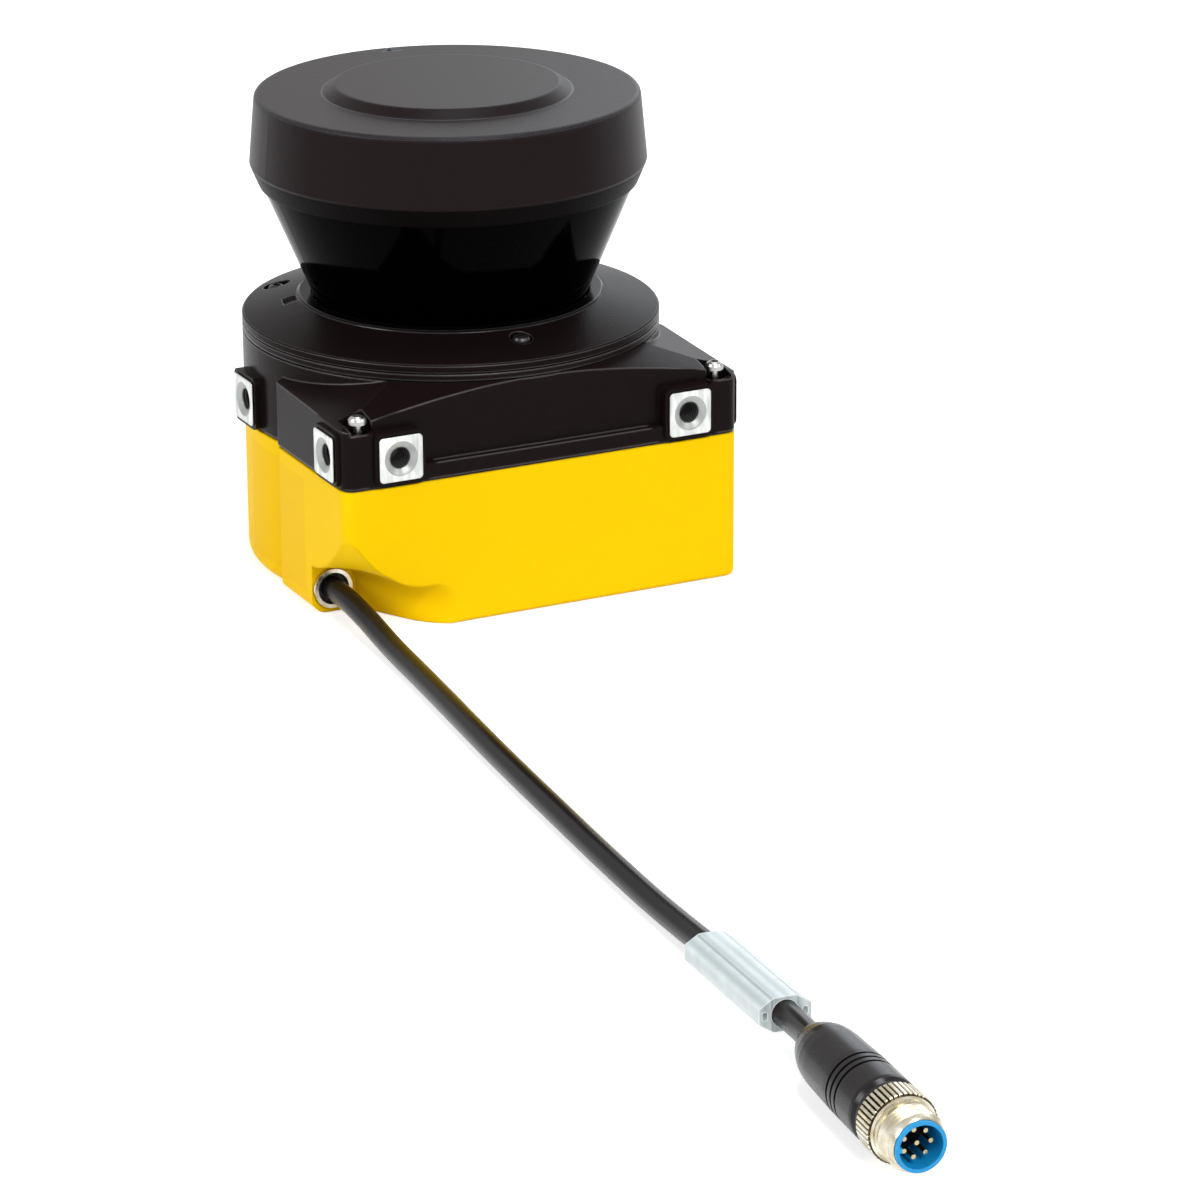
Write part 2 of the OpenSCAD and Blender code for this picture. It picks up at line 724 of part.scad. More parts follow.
module at_gland() translate([gland_x, gland_y, gland_z]) rotate([-90, 0, 0]) children();

module gland_ring() color("silver") at_gland() difference() {
    translate([0, 0, -gland_in]) cylinder(r = gland_r, h = gland_in + gland_out);
    translate([0, 0, -far / 2]) cylinder(r = gland_r - 0.9, h = far);
}

module gland_grommet() color("#141414") at_gland() difference() {
    translate([0, 0, -gland_in]) cylinder(r = gland_r - 0.9 - 0.02, h = gland_in - 0.4);
    translate([0, 0, -far / 2]) cylinder(r = cord_r + 0.02, h = far);
}

// The cable's route, from the outlet to the plug: it leaves straight, sinks to the floor, runs on and
// rises into the plug.
route = [
    [46, 24, 6], [46, 30, 6], [46, 36, 5.95], [46, 44, 5.5], [46.1, 53, 4.5], [46.5, 62, 3.5],
    [47.1, 72, 2.85], [48.2, 86, 2.7], [49.7, 102, 2.7], [51.5, 120, 2.7], [53.2, 138, 2.7],
    [54.7, 156, 2.7], [56.1, 174, 2.7], [57.5, 192, 2.7], [58.6, 208, 2.7], [59.6, 224, 2.8],
    [60.4, 238, 3.2], [61.3, 252, 3.9], [62.15, 262, 4.35], [63, 272, 4.8], [63.85, 282, 5.25],
    [64.7, 292, 5.7], [65.9, 299.5, 6.5], [67.3, 306, 7.3]];
plug_at = [67.3, 306, 7.3];
plug_turn = 5.3;

cord_sides = 8;

function unit(v) = v / norm(v);
function route_direction(i) =
    i == 0 ? unit(route[1] - route[0]) :
    i == len(route) - 1 ? [sin(plug_turn), cos(plug_turn), 0] :
    unit(route[i + 1] - route[i - 1]);
function ring_point(i, j) =
    let (d = route_direction(i),
         side = unit(cross(d, [0, 0, 1])),
         up = cross(side, d),
         a = 360 * (j + 0.5) / cord_sides)
    route[i] + cord_r * (side * cos(a) + up * sin(a));

module cord() color("#161616") {
    rings = len(route);
    points = [for (i = [0:rings - 1], j = [0:cord_sides - 1]) ring_point(i, j)];
    sides = [for (i = [0:rings - 2], j = [0:cord_sides - 1])
        let (k = (j + 1) % cord_sides)
        [i * cord_sides + j, i * cord_sides + k, (i + 1) * cord_sides + k, (i + 1) * cord_sides + j]];
    ends = [[for (j = [cord_sides - 1:-1:0]) j], [for (j = [0:cord_sides - 1]) (rings - 1) * cord_sides + j]];
    polyhedron(points, concat(sides, ends), convexity = 8);
}

// The marker sleeve slips over the cable: a round bore between two flat wings.
marker_from = 17;      // the route's point at which the sleeve starts
marker_w = 5.5;        // half the sleeve's width
marker_side = 1.6;     // half the height of its narrow sides
marker_h = cord_r + 0.8;
marker_dir = unit(route[21] - route[marker_from]);

module at_marker() {
    turn = -atan2(marker_dir[0], marker_dir[1]);
    rise = asin(marker_dir[2]);
    translate(route[marker_from] + marker_dir * 0.8) rotate([0, 0, turn]) rotate([rise - 90, 0, 0]) children();
}

module marker_sleeve() color("#dfe6e8") at_marker() linear_extrude(marker_l) difference() {
    polygon([for (q = [[1, 1], [1, -1], [-1, -1], [-1, 1]]) each q[0] * q[1] > 0
        ? [[2.4 * q[0], marker_h * q[1]], [marker_w * q[0], marker_side * q[1]]]
        : [[marker_w * q[0], marker_side * q[1]], [2.4 * q[0], marker_h * q[1]]]]);
    circle(cord_r + 0.15);
    // pockets for a label on both sides of the cable
    for (s = [-1, 1]) translate([s * (marker_w - 1.3), 0]) square([1, 1.6], center = true);
}

module at_plug() translate(plug_at) rotate([0, 0, -plug_turn]) rotate([-90, 0, 0]) children();

insert_r = plug_thread_r - 0.95;
nut_ring_l = 5.8;
nut_l = 12.8;
thread_chamfer = 0.8;
insert_l = 13.6;
cavity_l = 8.5;

module plug_body() color("#161616") at_plug() difference() {
    rotate_extrude() polygon([
        [0, 0], [3.7, 0], [4.1, 0.6], [5.2, 3], [6, 5.5], [6.35, 7.5], [6.55, 10],
        [6.9, plug_body_l - 15], [7, plug_body_l - 3], [plug_nut_r - 0.2, plug_body_l - 2.2],
        [plug_nut_r - 0.7, plug_body_l - 1.2], [plug_nut_r - 0.7, plug_body_l], [0, plug_body_l]]);
    for (i = [0:2]) translate([0, 0, plug_body_l - 13.6 + 1.9 * i]) difference() {
        cylinder(r = 9, h = 0.7);
        cylinder(r = 6.45, h = 3, center = true);
    }
}

module plug_insert() color("#1f9bd1") at_plug() translate([0, 0, plug_body_l]) difference() {
    cylinder(r = insert_r, h = insert_l);
    translate([0, 0, insert_l - cavity_l]) difference() {
        cylinder(r = insert_r - 0.75, h = far);
        translate([insert_r - 1.3, -0.5, 0]) cube([2, 1, far]);
    }
}

module plug_pins() color("gold") at_plug() translate([0, 0, plug_body_l + insert_l - cavity_l]) {
    cylinder(r = 0.45, h = cavity_l - 2, $fn = 24);
    for (a = [26:51.43:340]) rotate([0, 0, a]) translate([2.75, 0, 0]) cylinder(r = 0.45, h = cavity_l - 2, $fn = 24);
}

module plug_nut() color("#c9c5b6") at_plug() translate([0, 0, plug_body_l + 0.2]) difference() {
    union() {
        cylinder(r = plug_nut_r, h = nut_ring_l);
        rotate_extrude() polygon([
            [0, 0], [plug_nut_r - 0.3, nut_ring_l], [plug_thread_r + 0.35, nut_ring_l + 0.9],
            [plug_thread_r, nut_ring_l + 0.9], [plug_thread_r, nut_l - thread_chamfer],
            [plug_thread_r - thread_chamfer, nut_l], [0, nut_l]]);
    }
    translate([0, 0, -1]) cylinder(r = insert_r + 0.06, h = far);
    for (i = [0:knurl_count - 1]) rotate([0, 0, i * 360 / knurl_count])
        translate([plug_nut_r + 0.05, 0, 0.6]) rotate([0, 0, 45]) cube([0.45, 0.45, nut_ring_l - 1.2]);
}

base_housing();
base_gasket();
upper_casting();
corner_screws();
flange_plate();
flange_screws();
cover_collar();
optics_cover();
top_cap();
display_window();
light_guides();
display_board();
rear_column();
motor_bracket();
motor_can();
motor_windings();
motor_bearings();
motor_shaft();
rotor_magnet();
mirror_carrier();
scan_mirror();
encoder_disc();
encoder_sensor();
lens_holder();
receiver_lens();
lens_ring();
laser_module();
receiver_board();
main_board();
power_board();
board_spacers();
board_screws();
gland_ring();
gland_grommet();
cord();
marker_sleeve();
plug_body();
plug_insert();
plug_pins();
plug_nut();
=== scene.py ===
# %% [markdown]
# # A compact safety laser scanner
# The solids come packed from the CAD source. This lesson dresses them: it gives each one its finish, and it
# makes the cable, its sleeve, the plug's nut and the base with its cable scoop again, with the detail that
# the plain solids lack. Everything is in metres. The scan axis is Z, and the flat rear face looks along +Y.

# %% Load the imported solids
import math

import bmesh
import bpy
from mathutils import Matrix, Vector


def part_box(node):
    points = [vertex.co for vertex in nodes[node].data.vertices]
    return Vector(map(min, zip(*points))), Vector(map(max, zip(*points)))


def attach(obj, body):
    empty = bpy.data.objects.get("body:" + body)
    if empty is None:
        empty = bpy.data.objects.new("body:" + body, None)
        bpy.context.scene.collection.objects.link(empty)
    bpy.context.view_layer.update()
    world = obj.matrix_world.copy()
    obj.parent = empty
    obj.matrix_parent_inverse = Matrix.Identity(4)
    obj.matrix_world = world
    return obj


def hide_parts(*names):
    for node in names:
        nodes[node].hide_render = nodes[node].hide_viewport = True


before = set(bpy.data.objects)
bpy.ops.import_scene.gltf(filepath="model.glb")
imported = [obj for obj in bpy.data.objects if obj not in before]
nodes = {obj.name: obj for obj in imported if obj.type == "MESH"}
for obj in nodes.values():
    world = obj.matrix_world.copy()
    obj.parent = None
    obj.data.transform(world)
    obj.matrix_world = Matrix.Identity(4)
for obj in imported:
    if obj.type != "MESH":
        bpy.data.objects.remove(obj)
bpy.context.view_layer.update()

MM = 0.001

# %% [markdown]
# ## The camera
# A product camera has a long lens, so the housing's edges stay nearly parallel. It could be aimed with a
# Track To constraint, but a matrix says the same in one line and keeps no link to another object. Its
# columns are the camera's own axes: right, up and back. It stands behind the scanner, a little above it.

# %% Camera
LENS_MM, SENSOR_MM = 149.4, 36
CAMERA_AT = Vector((0.47776, 1.04843, 0.40227))
camera_back = Vector((0.41606, 0.8431, 0.3407)).normalized()
camera_right = Vector((-0.8959, 0.44422, -0.0052))
camera_right = (camera_right - camera_back * camera_right.dot(camera_back)).normalized()
camera_up = camera_back.cross(camera_right)

camera_data = bpy.data.cameras.new("camera")
camera_data.sensor_width = SENSOR_MM
camera_data.lens = LENS_MM
camera_data.clip_end = 20
camera = bpy.data.objects.new("camera", camera_data)
bpy.context.scene.collection.objects.link(camera)
camera_turn = Matrix((camera_right, camera_up, camera_back)).transposed().to_4x4()
camera.matrix_world = Matrix.Translation(CAMERA_AT) @ camera_turn
bpy.context.scene.camera = camera
print("camera: %.0f mm lens, %.2f m from the scan axis" % (LENS_MM, CAMERA_AT.xy.length))

# %% [markdown]
# ## The cable
# The cable leaves the outlet straight, sinks to the floor in a flat curve, runs on to the plug and rises
# into it. The points are the route of the solid cable. A curve object with a bevel would make the tube too,
# but a ring that is carried along a spline gives a mesh at once, and it keeps its diameter in every bend.

# %% Cable route
ROUTE_MM = [
    (46, 24, 6), (46, 30, 6), (46, 36, 5.95), (46, 44, 5.5), (46.1, 53, 4.5), (46.5, 62, 3.5),
    (47.1, 72, 2.85), (48.2, 86, 2.7), (49.7, 102, 2.7), (51.5, 120, 2.7), (53.2, 138, 2.7),
    (54.7, 156, 2.7), (56.1, 174, 2.7), (57.5, 192, 2.7), (58.6, 208, 2.7), (59.6, 224, 2.8),
    (60.4, 238, 3.2), (61.3, 252, 3.9), (62.15, 262, 4.35), (63, 272, 4.8), (63.85, 282, 5.25),
    (64.7, 292, 5.7), (65.9, 299.5, 6.5), (67.3, 306, 7.3)]
CORD_D = 5.4 * MM
route = [Vector(point) * MM for point in ROUTE_MM]


def smooth_path(points, per_span=4):
    """A Catmull-Rom spline through the points."""
    path = []
    for i in range(len(points) - 1):
        before = points[max(i - 1, 0)]
        a, b = points[i], points[i + 1]
        after = points[min(i + 2, len(points) - 1)]
        for k in range(per_span):
            t = k / per_span
            path.append(0.5 * (2 * a + (b - before) * t + (2 * before - 5 * a + 4 * b - after) * t ** 2
                               + (3 * a - 3 * b + after - before) * t ** 3))
    return path + [points[-1]]


def path_length(path):
    return sum((b - a).length for a, b in zip(path, path[1:]))


centre_line = smooth_path(route)
cord_length = path_length(centre_line)
print("cable in the model: %.1f mm" % (cord_length / MM))


# %% [markdown]
# ## From a bmesh to a piece
# A bmesh is a loose workbench: operators shape it, and then it is copied into a mesh that an object shows.
# Each piece here goes the same way, so two helpers do it. A piece's object stays at the origin, with its
# place in its mesh, as the solids have it. Then both move with their body in the same way.


# %% Helpers that turn a bmesh into a piece
def mesh_object(name, mesh_maker):
    """An object at the origin whose mesh the maker builds in an empty bmesh."""
    bm = bmesh.new()
    mesh_maker(bm)
    mesh = bpy.data.meshes.new(name)
    bm.to_mesh(mesh)
    bm.free()
    made = bpy.data.objects.new(name, mesh)
    bpy.context.scene.collection.objects.link(made)
    return made


def new_piece(name, mesh_maker, body, smooth_angle=35):
    """A piece of the scanner that rides on a CAD body. Edges sharper than the angle stay sharp."""
    piece = mesh_object(name, mesh_maker)
    for face in piece.data.polygons:
        face.use_smooth = True
    piece.data.set_sharp_from_angle(angle=math.radians(smooth_angle))
    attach(piece, body)
    print("%s: %d faces" % (name, len(piece.data.polygons)))
    return piece


def circle_of(radius, sides):
    return [(radius * math.cos(2 * math.pi * k / sides), radius * math.sin(2 * math.pi * k / sides))
            for k in range(sides)]


def closed_loop(bm, points):
    """The edges of a closed outline through the points."""
    verts = [bm.verts.new(point) for point in points]
    return [bm.edges.new((a, b)) for a, b in zip(verts, verts[1:] + verts[:1])]


# %% Cable
def sweep_ring(bm, path, ring):
    """Carries a closed ring of (side, up) offsets along the path and closes both ends."""
    rows = []
    for i, point in enumerate(path):
        ahead = (path[min(i + 1, len(path) - 1)] - path[max(i - 1, 0)]).normalized()
        side = ahead.cross(Vector((0, 0, 1))).normalized()
        above = side.cross(ahead)
        rows.append([bm.verts.new(point + side * x + above * y) for x, y in ring])
    for row, following in zip(rows, rows[1:]):
        for j in range(len(ring)):
            k = (j + 1) % len(ring)
            bm.faces.new((row[j], row[k], following[k], following[j]))
    bm.faces.new(rows[0][::-1])
    bm.faces.new(rows[-1])
    bmesh.ops.recalc_face_normals(bm, faces=bm.faces)


cable = new_piece("cable", lambda bm: sweep_ring(bm, centre_line, circle_of(CORD_D / 2, 32)),
                  "housing", smooth_angle=60)
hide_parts("cord")

# %% [markdown]
# ## The marker sleeve
# A clear profile is pushed over the cable before the plug is moulded on. It has a round bore and a flat
# wing on each side, whose slot takes a printed strip. It could be carved from a block with booleans, but
# the real one is cut from an extruded length, so it is made here in the same way: one cross-section,
# extruded along the cable, with its long edges rounded.

# %% Marker sleeve: sizes and place
SLEEVE_L = 37 * MM
SLEEVE_H = 3.5 * MM       # half the height of the middle
SLEEVE_FLAT = 2.4 * MM    # half the width of the flat on top
WING = 5.5 * MM           # from the middle to a wing's edge
WING_SIDE = 1.6 * MM      # half the height of that edge
SLOT_FROM, SLOT_TO, SLOT_H = WING - 1.8 * MM, WING - 0.8 * MM, 0.8 * MM
SLEEVE_BORE = 2.85 * MM
SLEEVE_ROUNDING = 0.35 * MM
near, far = route[17], route[21]          # the stretch of the route that it sits on
sleeve_dir = (far - near).normalized()
sleeve_start = near + sleeve_dir * 0.8 * MM
sleeve_side = sleeve_dir.cross(Vector((0, 0, 1))).normalized()
sleeve_up = sleeve_side.cross(sleeve_dir)
print("sleeve: %.0f mm long, %.0f mm wide" % (SLEEVE_L / MM, 2 * WING / MM))


# %% Marker sleeve: mesh
def sleeve_outlines():
    """The outside, the bore and the two slots, as (side, up) points."""
    half = [(SLEEVE_FLAT, SLEEVE_H), (WING, WING_SIDE), (WING, -WING_SIDE), (SLEEVE_FLAT, -SLEEVE_H)]
    outlines = [half + [(-x, y) for x, y in reversed(half)], circle_of(SLEEVE_BORE, 32)]
    for side in (-1, 1):
        x0, x1 = sorted((side * SLOT_FROM, side * SLOT_TO))
        outlines.append([(x0, -SLOT_H), (x1, -SLOT_H), (x1, SLOT_H), (x0, SLOT_H)])
    return outlines


def sleeve_mesh(bm):
    edges = []
    for outline in sleeve_outlines():
        edges += closed_loop(bm, [sleeve_start + sleeve_side * x + sleeve_up * y for x, y in outline])
    bmesh.ops.triangle_fill(bm, edges=edges, use_beauty=True)
    made = bmesh.ops.extrude_face_region(bm, geom=bm.faces[:])
    moved = [v for v in made["geom"] if isinstance(v, bmesh.types.BMVert)]
    bmesh.ops.translate(bm, verts=moved, vec=sleeve_dir * SLEEVE_L)
    bmesh.ops.recalc_face_normals(bm, faces=bm.faces)
    long_edges = [e for e in bm.edges
                  if abs((e.verts[0].co - e.verts[1].co).length - SLEEVE_L) < 1e-6 and len(e.link_faces) == 2
                  and e.calc_face_angle(0) > math.radians(25)]
    bmesh.ops.bevel(bm, geom=long_edges, offset=SLEEVE_ROUNDING, segments=3, profile=0.5, affect="EDGES",
                    material=-1, clamp_overlap=True)


sleeve = new_piece("sleeve", sleeve_mesh, "housing")
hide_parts("marker_sleeve")

# %% [markdown]
# ## The plug's coupling nut
# The nut of a round M12 plug is turned from brass and nickelled: a knurled ring for the fingers and a
# thread with a pitch of 1 mm. A Screw modifier could wind a true helix, which nobody sees at this size.
# So one profile is spun round the plug's axis, the thread's flanks are rings, and the knurl is pressed in
# by moving the ring's own vertices, one step in four.

# %% Coupling nut: sizes and place
PLUG_TURN = math.radians(5.3)
plug_at = route[-1].copy()
plug_dir = Vector((math.sin(PLUG_TURN), math.cos(PLUG_TURN), 0))
plug_frame = (Matrix.Translation(plug_at) @ Matrix.Rotation(-PLUG_TURN, 4, "Z")
              @ Matrix.Rotation(-math.pi / 2, 4, "X"))
NUT_START = 35.0 * MM     # behind it lies the moulded body
NUT_L, NUT_R, NUT_BORE = 12.8 * MM, 7.1 * MM, 5.11 * MM
NUT_RING_L, RING_CHAMFER = 5.8 * MM, 0.5 * MM
THREAD_R, THREAD_DEPTH, PITCH = 6.0 * MM, 0.42 * MM, 1.0 * MM
THREAD_FROM, THREAD_TO = NUT_RING_L + 1.4 * MM, NUT_L - 0.9 * MM
COLLAR_RISE, COLLAR_L = 0.15 * MM, 0.9 * MM            # the plain stretch between the ring and the thread
TIP_FALL, TIP_L = 0.8 * MM, 0.5 * MM                   # the chamfer at the thread's tip
KNURLS, KNURL_STEPS, KNURL_DEPTH = 44, 4, 0.42 * MM
print("nut: %.1f mm across, %.1f mm long" % (2 * NUT_R / MM, NUT_L / MM))


# %% Coupling nut: profile
def nut_profile():
    """(radius, distance along the axis) from the bore's near end, round the outside, to its far end."""
    flat = NUT_RING_L - 2 * RING_CHAMFER
    points = [(NUT_BORE, 0), (NUT_R - RING_CHAMFER, 0), (NUT_R, RING_CHAMFER)]
    points += [(NUT_R, RING_CHAMFER + flat * k / 4) for k in range(1, 5)]
    points += [(NUT_R - RING_CHAMFER, NUT_RING_L), (THREAD_R + COLLAR_RISE, NUT_RING_L + COLLAR_RISE)]
    points += [(THREAD_R + 0.1 * MM, NUT_RING_L + COLLAR_L), (THREAD_R - 0.45 * MM, THREAD_FROM - 0.3 * MM)]
    along = THREAD_FROM
    while along + PITCH < THREAD_TO:
        points += [(THREAD_R - THREAD_DEPTH, along + 0.10 * PITCH), (THREAD_R, along + 0.42 * PITCH),
                   (THREAD_R, along + 0.58 * PITCH), (THREAD_R - THREAD_DEPTH, along + 0.90 * PITCH)]
        along += PITCH
    points += [(THREAD_R - 0.55 * MM, NUT_L - TIP_L), (THREAD_R - TIP_FALL, NUT_L), (NUT_BORE, NUT_L)]
    return points


# %% Coupling nut: mesh
def press_knurl(bm):
    """Pushes every fourth step of the ring's flat outside inwards."""
    start, end = NUT_START + 0.4 * MM, NUT_START + NUT_RING_L - 0.4 * MM
    for v in bm.verts:
        radius = v.co.xy.length
        if radius > NUT_R - 0.1 * MM and start < v.co.z < end:
            turned = math.atan2(v.co.y, v.co.x) / (2 * math.pi)
            if round(turned * KNURLS * KNURL_STEPS) % KNURL_STEPS == 0:
                v.co.xy *= (NUT_R - KNURL_DEPTH) / radius


def nut_mesh(bm):
    edges = closed_loop(bm, [(radius, 0, NUT_START + z) for radius, z in nut_profile()])
    bmesh.ops.spin(bm, geom=bm.verts[:] + edges, cent=(0, 0, 0), axis=(0, 0, 1), angle=2 * math.pi,
                   steps=KNURLS * KNURL_STEPS, use_merge=True)
    bmesh.ops.remove_doubles(bm, verts=bm.verts, dist=1e-7)
    press_knurl(bm)
    bmesh.ops.recalc_face_normals(bm, faces=bm.faces)
    bmesh.ops.transform(bm, matrix=plug_frame, verts=bm.verts)


nut = new_piece("coupling_nut_knurled", nut_mesh, "coupling_nut", smooth_angle=25)
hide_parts("plug_nut")

# %% [markdown]
# ## The cable outside the housing
# The cable enters the housing at its outlet. The part of its centre line from there to the plug is taken
# here, and its length is printed.

OUTLET_Y = 31 * MM
seen_line = [Vector((46 * MM, OUTLET_Y, 6 * MM))] + [p for p in centre_line if p.y >= OUTLET_Y - 1e-6]
print("cable from the outlet to the plug: %.0f mm" % (path_length(seen_line) / MM))

# %% [markdown]
# ## The cable scoop in the base
# The die that casts the base leaves a flared mouth round the cable outlet, so the cable can bend to the
# rear and upwards without a sharp edge. Its wall runs out into the rear face, and its roof rises to a peak
# on the corner edge. The solid base has plain round grooves there. Such a blend is hard to build from edges,
# but easy to cut: the next cells loft the flare as one closed cutter, fill the grooves and subtract it.

# %% Flare: its wall and its roof
SIDE_X, REAR_Y = 51 * MM, 52 * MM                          # the base's side and rear face
MOUTH_DEPTH = REAR_Y - OUTLET_Y + 0.05 * MM
WALL_X, WALL_RUN = 39.8 * MM, 12 * MM                      # the wall at the outlet, and how far it runs out
LIP_FROM, LIP_RUN = 0.62, 6 * MM                           # the rounded end of the wall at the rear face
ROOF_Z, ROOF_FALL = 12.2 * MM, 1.8 * MM                    # the roof at the outlet, and how far it sinks
PEAK_FROM_X, PEAK_SPAN, PEAK_RISE = 30 * MM, 21 * MM, 15.8 * MM
SWEEP_OUT, SWEEP_BACK = 2.2, 1.7                           # how late the peak rises, sideways and rearwards


def flare_wall(t):
    """X of the wall, at the share t of the way from the outlet to the rear face."""
    late = max(0.0, (t - LIP_FROM) / (1 - LIP_FROM))
    return WALL_X - WALL_RUN * t - LIP_RUN * (1 - math.sqrt(1 - late * late))


def flare_roof(x, t):
    """Height of the roof: level at the outlet, swept up towards the corner edge further out."""
    sweep = max(0.0, (x - PEAK_FROM_X) / PEAK_SPAN) ** SWEEP_OUT
    return ROOF_Z - ROOF_FALL * t + PEAK_RISE * t ** SWEEP_BACK * sweep


print("scoop at the rear face: %.0f mm from the side, peak at %.0f mm"
      % ((SIDE_X - flare_wall(1)) / MM, flare_roof(SIDE_X, 1) / MM))

# %% Flare: cutter
BEND, BEND_FROM_Z = 5.5 * MM, 5 * MM      # the quarter turn from the wall into the roof
CUT_X, CUT_Y, CUT_Z = 58 * MM, REAR_Y + 6 * MM, -2 * MM    # the cutter ends outside the base


def flare_section(t):
    """The cutter's closed outline in X and Z."""
    wall = flare_wall(t)
    outline = [(wall, CUT_Z), (wall, 0), (wall, 2.5 * MM)]
    for k in range(11):
        turned = math.pi / 2 * k / 10
        x = wall + BEND * (1 - math.cos(turned))
        outline.append((x, BEND_FROM_Z + (flare_roof(x, t) - BEND_FROM_Z) * math.sin(turned)))
    for k in range(1, 19):
        x = wall + BEND + (CUT_X - wall - BEND) * k / 18
        outline.append((x, flare_roof(x, t)))
    return outline + [(CUT_X, CUT_Z)]


def flare_mesh(bm):
    shares = [LIP_FROM * k / 10 for k in range(10)]
    shares += [LIP_FROM + (1 - LIP_FROM) * math.sin(math.pi / 2 * k / 14) for k in range(15)]
    sections = [(OUTLET_Y + MOUTH_DEPTH * t, flare_section(t)) for t in shares]
    sections.append((CUT_Y, flare_section(1)))
    loops = [closed_loop(bm, [(x, y, z) for x, z in outline]) for y, outline in sections]
    for loop, following in zip(loops, loops[1:]):
        bmesh.ops.bridge_loops(bm, edges=loop + following)
    for loop in (loops[0], loops[-1]):
        bmesh.ops.contextual_create(bm, geom=loop)
    bmesh.ops.recalc_face_normals(bm, faces=bm.faces)


# %% Blocks that fill the plain grooves
CORNER_R, REAR_CHAMFER = 3 * MM, 0.7 * MM


def filler(bm, from_x, top_z):
    """A box at the base's rear corner, with its rounded corner edge and its chamfered lower edge."""
    low, high = (from_x, OUTLET_Y, 0), (SIDE_X, REAR_Y, top_z)
    for v in bmesh.ops.create_cube(bm, size=1)["verts"]:
        v.co = [low[i] if v.co[i] < 0 else high[i] for i in range(3)]
    upright = [e for e in bm.edges if all(v.co.x > SIDE_X - 1e-6 and v.co.y > REAR_Y - 1e-6 for v in e.verts)]
    bmesh.ops.bevel(bm, geom=upright, offset=CORNER_R, segments=12, profile=0.5, affect="EDGES", material=-1)
    lower = [e for e in bm.edges if all(v.co.z < 1e-6 and v.co.y > REAR_Y - 1e-6 for v in e.verts)]
    bmesh.ops.bevel(bm, geom=lower, offset=REAR_CHAMFER, segments=1, profile=0.5, affect="EDGES", material=-1)


# %% Base with the flared scoop
def merged_base(bm):
    """A copy of the solid base whose loose triangles are joined, as a boolean needs them."""
    bm.from_mesh(nodes["base_housing"].data)
    bmesh.ops.remove_doubles(bm, verts=bm.verts, dist=1e-7)


raw_base = mesh_object("raw_base", merged_base)
cuts = [(mesh_object("fill_low", lambda bm: filler(bm, 20 * MM, 16 * MM)), "UNION"),
        (mesh_object("fill_high", lambda bm: filler(bm, 34 * MM, 30 * MM)), "UNION"),
        (mesh_object("flare", flare_mesh), "DIFFERENCE")]
for helper, operation in cuts:
    boolean = raw_base.modifiers.new(helper.name, "BOOLEAN")
    boolean.object = helper
    boolean.operation = operation
    boolean.solver = "EXACT"
cut_base = bpy.data.meshes.new_from_object(raw_base.evaluated_get(bpy.context.evaluated_depsgraph_get()))
base_shell = new_piece("base_shell", lambda bm: bm.from_mesh(cut_base), "housing",
                       smooth_angle=18)
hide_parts("base_housing")
for helper in [raw_base] + [cut[0] for cut in cuts]:
    bpy.data.objects.remove(helper)

# %% [markdown]
# ## Shader maths in plain expressions
# A finish could be wired by hand in the node editor, but a script full of links is hard to read. This class
# wraps one socket of one tree, and its operators add Math nodes, so that `1 - mask` is a socket too.


# %% A wrapper for sockets
class Shade:
    def __init__(self, tree, socket):
        self.tree, self.socket = tree, socket

    def node(self, kind, settings=None, inputs=None, out=0):
        """Adds one node: its settings first, then the values or links of its sockets."""
        made = self.tree.nodes.new(kind)
        for key, value in (settings or {}).items():
            setattr(made, key, value)
        for key, value in (inputs or {}).items():
            if isinstance(value, Shade):
                self.tree.links.new(value.socket, made.inputs[key])
            else:
                made.inputs[key].default_value = value
        return Shade(self.tree, made.outputs[out])

    def maths(self, operation, *others):
        return self.node("ShaderNodeMath", {"operation": operation}, dict(enumerate((self, *others))))

    def vectors(self, operation, other, out=0):
        return self.node("ShaderNodeVectorMath", {"operation": operation}, {0: self, 1: other}, out)

    def __add__(self, other): return self.maths("ADD", other)
    __radd__ = __add__
    def __mul__(self, other): return self.maths("MULTIPLY", other)
    __rmul__ = __mul__
    def __sub__(self, other): return self.maths("SUBTRACT", other)
    def __rsub__(self, other): return self * -1.0 + other
    def __pow__(self, other): return self.maths("POWER", other)
    def __abs__(self): return self.maths("ABSOLUTE")
    def __gt__(self, other): return self.maths("GREATER_THAN", other)
    def __lt__(self, other): return self.maths("LESS_THAN", other)
    def __or__(self, other): return self.maths("MAXIMUM", other)
    def __and__(self, other): return self.maths("MINIMUM", other)

    def ramp(self, low, high, out_low=0.0, out_high=1.0):
        """Maps low..high to out_low..out_high, clamped."""
        return self.node("ShaderNodeMapRange", {"clamp": True},
                         {0: self, 1: low, 2: high, 3: out_low, 4: out_high})

    def between(self, low, high):
        """1 from low to high, and 0 elsewhere."""
        return (self > low) & (self < high)

    def band(self, low, high, fade):
        """As between, but it fades in and out inside the band."""
        return self.ramp(low, low + fade) * self.ramp(high, high - fade)


# %% [markdown]
# ## A finish
# Every surface here is one material with one surface shader. What a maker's finishes share is written once:
# a grain, a roughness that isn't quite even, edges that are slightly rounded, and the thin gloss of satin
# paint that shows at a glancing view. A node group could hold that too, but a class needs no group inputs.


# %% Colours
def tone(r, g, b):
    """A screen colour from 0 to 255 as the linear colour, with its alpha, that the renderer uses."""
    shares = [c / 255 for c in (r, g, b)]
    return tuple(s / 12.92 if s < 0.04 else ((s + 0.055) / 1.055) ** 2.4 for s in shares) + (1.0,)


